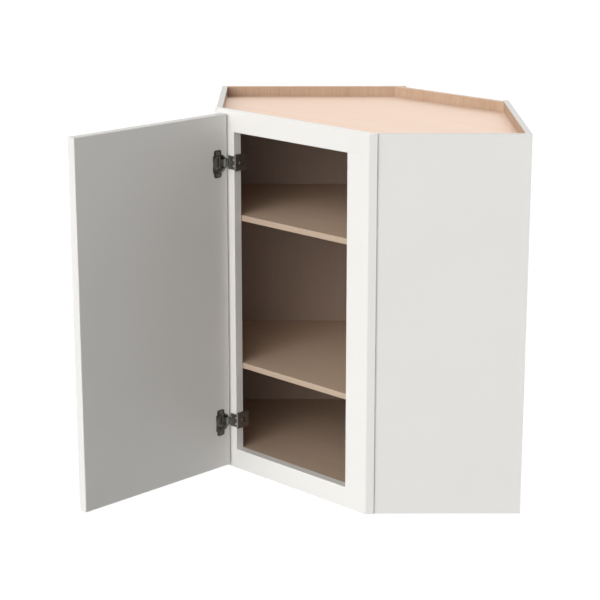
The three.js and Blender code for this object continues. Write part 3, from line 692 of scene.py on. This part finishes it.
def cup_shell():
    """The bowl, the rim and the ear bar as a polar grid about the cup's centre. A row follows the
    bowl's section, then runs out over the rolled rim to its outline. The columns beside the neck
    keep their distance from its middle as the radius grows. The rim's edge rolls down a little to
    the ears, which are dished round their screws."""
    section, neck_row = bowl_section()
    notch = math.asin(NECK_HALF_WIDTH / CUP_RADIUS)
    main = np.linspace(notch - math.pi, math.pi - notch, CUP_COLUMNS)
    angle = np.concatenate([main, np.linspace(math.pi - notch, math.pi + notch, NECK_COLUMNS)[1:-1]])
    reach = rim_reach(angle)
    round_rim = np.minimum(np.array(RIM_RINGS)[:, None], reach)
    outwards = np.linspace(0, 1, FLAT_RINGS)[1:, None]
    flat = np.concatenate([round_rim, round_rim[-1] + outwards * (reach - round_rim[-1])])
    radius = np.concatenate([section[:, :1] * np.ones_like(reach), flat])
    straight = math.pi - np.arcsin(NECK_HALF_WIDTH / np.maximum(radius, CUP_RADIUS))
    near_neck = smooth_step(np.abs(angle), NECK_APPROACH, math.pi - notch)
    turned = angle * (1 + (straight / (math.pi - notch) - 1) * near_neck)
    x = radius * np.cos(turned)
    z = radius * np.sin(turned)
    from_screw = np.hypot(x - (EAR_LINE - CUP_CENTRE), np.abs(z) - EAR_SCREWS)
    rolled = EAR_DROP * smooth_step(radius, *RIM_ROLL)
    dished = EAR_DISH * (1 - smooth_step(from_screw, *DISH_RADII))
    height = np.concatenate([section[:, 1:] * np.ones_like(reach), np.full(flat.shape, MOUTH)])
    faces = grid_faces(len(radius), len(angle))
    row, column = faces[:, 0] // len(angle), faces[:, 0] % len(angle)
    kept = (column < len(main) - 1) | (row < neck_row)
    # The rim's last rows take the darker nickel: painted shade.
    rim_in_painted_shade = row >= len(section) - 3
    points = np.stack([x + CUP_CENTRE, height - (rolled + dished), z], axis=-1)
    return points, faces[kept], CUP_SHEET, rim_in_painted_shade[kept]


def lug(side):
    """A tongue that stands on the cup's floor: its section, half round over the pin with straight
    flanks, is carried across its thickness, chamfered on the inside and kept within the cup's wall."""
    crown = arc((0, 0), LUG_RADIUS, 0, 180, 17)
    foot = [[-LUG_RADIUS, CUP_FLOOR - LUG_SUNK], [LUG_RADIUS, CUP_FLOOR - LUG_SUNK]]
    section = np.concatenate([crown, foot])
    station = np.array([NECK_HALF_WIDTH, NECK_HALF_WIDTH + LUG_CHAMFER, 10.0, 11.2, LUG_END])[:, None]
    scale = np.array([LUG_TIP, 1, 1, 1, 1])[:, None]
    wall = CUP_CENTRE - np.sqrt((CUP_RADIUS + LUG_IN_WALL) ** 2 - station ** 2)
    x = np.maximum(scale * section[:, 0], wall)
    y = scale * section[:, 1]
    z = side * station * np.ones_like(x)
    # The last number gives the lug the darker nickel: painted shade that also puts out the glints on its
    # crown.
    return np.stack([x, y, z], axis=-1), grid_faces(len(station), len(section)), 0, 1


for level, height in HINGE_HEIGHTS.items():
    middle = np.array([0, 0, height])
    cup_parts = [(from_door(points + middle), *rest) for points, *rest in (cup_shell(), lug(-1), lug(1))]
    metal_piece(f"hinge_{level}_cup", cup_parts, [dark_nickel, nickel_in_painted_shade], "door")


# ---------------------------------------------------------------- hinge arms
# Each arm is one thick pressed strip, plated like the cup in a darker tone, which is painted shade
# that dims its highlights. It has a knuckle round the pin, a sunk window in its neck, a ribbed bend
# over the door's edge, a leg down to the frame and a round-cornered foot that its adjusting screw holds.

ARM_FACE = -1.4  # its outer face, from the pin
ARM_UNDER = 1.1
KNUCKLE = 2.1
BEND_CENTRE = (12.2, 2.6)
BEND_INSIDE = 1.5
BEND_OUTSIDE = 4.0
HEEL_RADIUS = 0.9  # between the leg and the foot
FOOT_ROOT = 17.2  # from the pin, along the front
FOOT_END = 24.2
FOOT_TOP = 11.8  # from the pin, inwards
FOOT_UNDER = 13.6
FOOT_TIP = 0.2  # least length left of its rounded end
FOOT_CORNER = 5.0
ARM_STEP = 0.33  # spacing of the points along its outline
ARM_STATIONS = (7.6, 7.52, 7.3, 6.9, 6.3, 5.6, 5.1, 4.4, 3.0, 1.5)  # across it, from a side face inwards
EDGE_PLACES = (7.25, 7.3, 7.52, 7.6)  # where its rounded edge starts, and on to the side face
EDGE_INSETS = (0.0, 0.02, 0.14, 0.34)  # how far the edge has drawn in at each
RIBS = (5.2, 10.0)  # grooves in its outer face, along it from the start of the bend
RIB_DEPTH = 0.7
RIB_HALF_WIDTH = 1.0
RIB_ENDS = (6.3, 7.0)  # a groove fades out between these, across the arm
WINDOW = (-7.6, -3.4)  # the sunk window, along it from the start of the bend
WINDOW_HALF_HEIGHT = 5.6
WINDOW_DEPTH = 1.7
WINDOW_SLOPE = 0.5

# A darker copy of the cup's nickel: painted shade that dims the arm's highlights.
arm_nickel_painted_shade = plated_steel("dark_nickel_arm_plate_painted_shade", "#86837e", 0.42)


def arm_outline():
    """The arm's closed outline about the pin, walked from the neck's outer face round the bend, the
    leg, the foot and back round the knuckle, then sampled at even steps. Each point comes with its
    outward normal and its distance past the start of the bend, which is negative on the neck."""
    knuckle_start = math.degrees(math.asin(ARM_UNDER / KNUCKLE))
    knuckle_end = 360 + math.degrees(math.asin(ARM_FACE / KNUCKLE))
    leg_face = BEND_CENTRE[0] + BEND_OUTSIDE
    corners = np.concatenate([
        arc(BEND_CENTRE, BEND_OUTSIDE, -90, 0, 40),
        arc((leg_face + HEEL_RADIUS, FOOT_TOP - HEEL_RADIUS), HEEL_RADIUS, 180, 90, 8),
        [[FOOT_END, FOOT_TOP], [FOOT_END, FOOT_UNDER]],
        [[BEND_CENTRE[0] + BEND_INSIDE, FOOT_UNDER]],
        arc(BEND_CENTRE, BEND_INSIDE, 0, -90, 16),
        arc((0, 0), KNUCKLE, knuckle_start, knuckle_end, 36)])
    closed = np.concatenate([corners, corners[:1]])
    walked = np.concatenate([[0], np.cumsum(np.hypot(*np.diff(closed, axis=0).T))])
    along = np.linspace(0, walked[-1], int(walked[-1] / ARM_STEP), endpoint=False)
    outline = np.stack([np.interp(along, walked, closed[:, axis]) for axis in (0, 1)], axis=1)
    tangent = np.roll(outline, -1, axis=0) - np.roll(outline, 1, axis=0)
    tangent /= np.hypot(*tangent.T)[:, None]
    from_bend = np.where(along > walked[-1] / 2, along - walked[-1], along)
    return outline, np.stack([tangent[:, 1], -tangent[:, 0]], axis=1), from_bend


def arm_points():
    """The outline carried across the arm's width. The grooves and the window press it in along its
    normal, it draws in at both side faces to round their edges, and the foot's end is cut to its
    corners: a place at a distance past a corner's centre keeps sqrt(radius^2 - distance^2)."""
    outline, normal, along = arm_outline()
    across = np.array(ARM_STATIONS)
    across = np.concatenate([-across, [0], across[::-1]])[:, None]
    from_middle = np.abs(across)
    groove = sum(np.exp(-((along - rib) / RIB_HALF_WIDTH) ** 2) for rib in RIBS)
    ribbed = 1 - smooth_step(from_middle, *RIB_ENDS)
    into_window = smooth_step(along, WINDOW[0], WINDOW[0] + WINDOW_SLOPE)
    out_of_window = smooth_step(along, WINDOW[1] - WINDOW_SLOPE, WINDOW[1])
    opened = 1 - smooth_step(from_middle, WINDOW_HALF_HEIGHT - WINDOW_SLOPE, WINDOW_HALF_HEIGHT)
    sunk = WINDOW_DEPTH * into_window * (1 - out_of_window) * opened
    inset = np.interp(from_middle, EDGE_PLACES, EDGE_INSETS) + RIB_DEPTH * groove * ribbed + sunk
    x = outline[:, 0] - inset * normal[:, 0]
    y = outline[:, 1] - inset * normal[:, 1]
    past = np.maximum(from_middle - (ARM_STATIONS[0] - FOOT_CORNER), 0)
    round_end = np.maximum(np.sqrt(np.maximum(FOOT_CORNER ** 2 - past ** 2, 0)), FOOT_TIP)
    end = FOOT_END - FOOT_CORNER + round_end
    x = np.where(x > FOOT_ROOT, FOOT_ROOT + (x - FOOT_ROOT) * (end - FOOT_ROOT) / (FOOT_END - FOOT_ROOT), x)
    z = across * np.ones_like(x)
    return np.stack([PIVOT[0] + x, PIVOT[1] + y, z], axis=-1), grid_faces(len(across), len(outline))


for level, height in HINGE_HEIGHTS.items():
    points, faces = arm_points()
    placed = from_front(points + np.array([0, 0, height]))
    metal_piece(f"hinge_{level}_arm", [(placed, faces, 0, 0)], [arm_nickel_painted_shade], "cabinet")


# ---------------------------------------------------------------- hinge plates
# Each plate is pressed steel, plated in a darker tone like the arm's, which is painted shade, and
# one screw holds it to the stile. It wraps the opening's edge: a leaf on the face, one bend, and a
# stiff channel that runs back inside the opening, with a slot and two little pressed stops, whose
# near-white plating is a painted highlight.

LEAF_START = 40.0  # along the front
LEAF_HALF_HEIGHT = 14.0
PLATE_SHEET = 1.5
CHANNEL_FACE = 60.4  # along the front
CHANNEL_START = 1.0  # behind the frame's face, where the bend ends
CHANNEL_END = 31.0
CHANNEL_HALF_HEIGHT = 17.25
FLANGE_ROOT = 4.3  # from the channel's face back towards the stile
PLATE_BEND = 1.8
STOPS = (55.9, 6.3)  # along the leaf, and above and below its middle
STOP_HEIGHT = 0.6  # the shut cup's rim passes 0.8 over the leaf
STOP_RADII = (0.6, 2.5)  # of its flat top and of its foot
SLOT = (17.2, 20.7, 6.4)  # from the frame's face inwards, and its half length
LEAF_ROWS = 54
BEND_ROWS = 9

# A darker copy of the cup's nickel: painted shade on the leaf and inside the channel.
plate_nickel_painted_shade = plated_steel("dark_nickel_frame_plate_painted_shade", "#96948f", 0.42)
# Near-white nickel on the stops: a painted highlight.
stop_nickel_painted_highlight = plated_steel("bright_nickel_stop_painted_highlight", "#f0ede8", 0.42)


def plate_plan():
    """The plate seen from above: the leaf, the bend and the channel as three lists of stations,
    with the direction into the sheet at each station of all three."""
    along = np.linspace(LEAF_START, CHANNEL_FACE - PLATE_BEND, LEAF_ROWS)
    leaf = np.stack([along, np.full(LEAF_ROWS, -PLATE_SHEET)], axis=1)
    bend = arc((CHANNEL_FACE - PLATE_BEND, PLATE_BEND - PLATE_SHEET), PLATE_BEND, -90, 0, BEND_ROWS)[1:]
    depth = np.concatenate([
        np.linspace(CHANNEL_START, SLOT[0], 12), np.linspace(SLOT[1], CHANNEL_END, 8)])
    channel = np.stack([np.full(len(depth), CHANNEL_FACE), depth], axis=1)
    turn = np.linspace(0, math.pi / 2, BEND_ROWS)[1:]
    inwards = np.concatenate([
        np.tile([[0.0, 1.0]], (LEAF_ROWS, 1)),
        np.stack([-np.sin(turn), np.cos(turn)], axis=1),
        np.tile([[-1.0, 0.0]], (len(depth), 1))])
    return leaf, bend, channel, inwards


def channel_section():
    """The channel's section from one flange round a corner to the web and round the other corner,
    as depth into the sheet and height. The web's places fit the slot and the leaf."""
    corner = arc((PLATE_BEND, CHANNEL_HALF_HEIGHT - PLATE_BEND), PLATE_BEND, 90, 180, 8)
    upper = np.concatenate([[[FLANGE_ROOT, CHANNEL_HALF_HEIGHT]], corner])
    web = np.concatenate([
        np.linspace(LEAF_HALF_HEIGHT, SLOT[2], 16),
        np.linspace(SLOT[2], -SLOT[2], 27)[1:-1],
        np.linspace(-SLOT[2], -LEAF_HALF_HEIGHT, 16)])
    return np.concatenate([
        upper, np.stack([np.zeros(len(web)), web], axis=1), upper[::-1] * np.array([1, -1])])


def plate_points():
    """The plate's outer face: a row for each station of its plan, a column for each place on the
    channel's section. The leaf keeps the columns of its own height only, and the bend all but the
    flanges. Also tells which faces are on a stop."""
    leaf, bend, channel, inwards = plate_plan()
    plan = np.concatenate([leaf, bend, channel])
    section = channel_section()
    place = plan[:, None, :] + inwards[:, None, :] * section[None, :, :1]
    z = section[None, :, 1] * np.ones((len(plan), 1))
    from_stop = np.hypot(place[..., 0] - STOPS[0], np.abs(z) - STOPS[1])
    on_face = place[..., 1] < 0.01 - PLATE_SHEET
    raised = STOP_HEIGHT * (1 - smooth_step(from_stop, *STOP_RADII)) * on_face
    points = np.stack([place[..., 0], place[..., 1] - raised, z], axis=-1)
    faces = grid_faces(len(plan), len(section), closed=False)
    row, column = faces[:, 0] // len(section), faces[:, 0] % len(section)
    depth = (plan[:-1, 1] + plan[1:, 1])[row] / 2
    height = np.abs(section[:-1, 1] + section[1:, 1])[column] / 2
    on_leaf = row < len(leaf) - 1
    on_channel = row >= len(leaf) + len(bend) - 1
    on_flange = (column == 0) | (column == len(section) - 2)
    in_slot = (depth > SLOT[0]) & (depth < SLOT[1]) & (height < SLOT[2])
    kept = ~in_slot & np.where(on_leaf, height < LEAF_HALF_HEIGHT, ~on_flange | on_channel)
    # Faces on a stop take the near-white nickel: a painted highlight.
    on_stop_painted_highlight = on_leaf & (from_stop.ravel()[faces].mean(axis=1) < STOP_RADII[1])
    return points, faces[kept], on_stop_painted_highlight[kept]


for level, height in HINGE_HEIGHTS.items():
    points, faces, on_stop_painted_highlight = plate_points()
    placed = from_front(points + np.array([0, 0, height]))
    metal_piece(f"hinge_{level}_frame_plate", [(placed, faces, PLATE_SHEET, on_stop_painted_highlight)],
                [plate_nickel_painted_shade, stop_nickel_painted_highlight], "cabinet")


# ---------------------------------------------------------------- hinge screws
# Pan-headed steel screws with a cross recess: two in each ear bar, one through each plate into
# the stile, and a short fine one that clamps each arm's foot to its plate.

CUP_SCREW = (3.7, 1.72, 1.7, 9.58)  # radius and height of the head, radius and length of the shank
FRAME_SCREW = (4.0, 1.7, 2.0, 18.0)
ADJUSTER = (3.0, 1.6, 1.8, 3.0)
FRAME_SCREW_DEPTH = 13.0  # from the frame's face inwards
ADJUSTER_PLACE = 49.1  # along the front
SCREW_COLUMNS = 72
HEAD_ROUNDING = 0.55  # radius of the head's edge, as a share of its height
CROWN_RINGS = 18
CROWN_RISE = 0.1
THREAD_PITCH = 1.6
THREAD_START = 0.8  # under the head
THREAD_ROOT = 0.72  # its radius, as a share of the shank's
RECESS_DEPTH = 0.9
RECESS_REACH = 0.56  # of each bar of the cross, as a share of the head's radius
BAR_HALF_WIDTHS = (0.4, 0.65)  # of a bar's floor and of its mouth
BAR_END_SLOPE = 0.5
RECESS_LEAN = 20  # degrees from upright

screw_nickel = plated_steel("nickel_screw_plate", "#85827d", 0.28)


def screw_points(head_radius, head_height, shank_radius, shank_length):
    """A screw as a turned grid, its rows from the tip's pole up the shank, out under the head, over
    its rounded edge and in to the crown's pole. The thread is a row of rings. The recess is two
    crossed bars that sink towards the middle. Gives distances from the axis along two directions,
    and along it from under the head."""
    rings = np.arange(-shank_length + shank_radius, -THREAD_START, THREAD_PITCH / 2)
    tooth = np.where(np.arange(len(rings)) % 2, shank_radius, THREAD_ROOT * shank_radius)
    shank = np.concatenate([[[0, -shank_length]], np.stack([tooth, rings], axis=1), [[shank_radius, 0]]])
    rounding = HEAD_ROUNDING * head_height
    rim = arc((head_radius - rounding, head_height - rounding), rounding, 0, 80, 6)
    crown_radius = np.linspace(rim[-1, 0], 0, CROWN_RINGS)[1:]
    dome = CROWN_RISE * (1 - (crown_radius / rim[-1, 0]) ** 2)
    crown = np.stack([crown_radius, rim[-1, 1] + dome], axis=1)
    profile = np.concatenate([shank, [[head_radius, 0]], rim, crown])
    angle = np.linspace(0, 2 * math.pi, SCREW_COLUMNS, endpoint=False)
    a = profile[:, :1] * np.cos(angle)
    b = profile[:, :1] * np.sin(angle)
    reach = RECESS_REACH * head_radius
    bars = [(1 - smooth_step(np.abs(along), reach - BAR_END_SLOPE, reach))
            * (1 - smooth_step(np.abs(across), *BAR_HALF_WIDTHS))
            for along, across in ((a, b), (b, a))]
    on_crown = (np.arange(len(profile)) >= len(profile) - len(crown))[:, None]
    sunk = RECESS_DEPTH * np.maximum(*bars) * (1 - 0.5 * np.hypot(a, b) / reach) * on_crown
    return a, b, profile[:, 1:] - sunk, grid_faces(len(profile), len(angle))


def make_screw(cad_name, at, out, turn_to_room, body, sizes):
    """A screw at a place, its head towards a direction. The recess leans a little off the upright."""
    a, b, rise, faces = screw_points(*sizes)
    out = np.array(out)
    side = np.cross([0, 0, 1], out)
    lean = math.radians(RECESS_LEAN)
    first = math.cos(lean) * side + math.sin(lean) * np.array([0, 0, 1])
    second = np.cross(out, first)
    points = np.array(at) + a[..., None] * first + b[..., None] * second + rise[..., None] * out
    metal_piece(cad_name, [(turn_to_room(points), faces, 0, 0)], [screw_nickel], body, edge=0.05)


for level, height in HINGE_HEIGHTS.items():
    for end, side in (("bottom", -1), ("top", 1)):
        in_dish = (EAR_LINE, MOUTH - EAR_DROP - EAR_DISH, height + side * EAR_SCREWS)
        make_screw(f"hinge_{level}_cup_screw_{end}", in_dish, (0, 1, 0), from_door, "door", CUP_SCREW)
    in_channel = (CHANNEL_FACE, FRAME_SCREW_DEPTH, height)
    make_screw(f"hinge_{level}_frame_screw", in_channel, (1, 0, 0), from_front, "cabinet", FRAME_SCREW)
    on_foot = (ADJUSTER_PLACE, FOOT_TOP + PIVOT[1], height)
    make_screw(f"hinge_{level}_adjuster", on_foot, (0, -1, 0), from_front, "cabinet", ADJUSTER)


# ---------------------------------------------------------------- pins
# Turned steel pins, nickel plated: one through each hinge's knuckle, and twelve with a collar
# that carry the shelves.

pin_nickel = plated_steel("bright_nickel_pin_plate", "#a8a6a2", 0.30)

for name, cad_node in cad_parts.items():
    if name.startswith("shelf_pin") or name.endswith("_pin"):
        cad_node.data.materials.clear()
        cad_node.data.materials.append(pin_nickel)
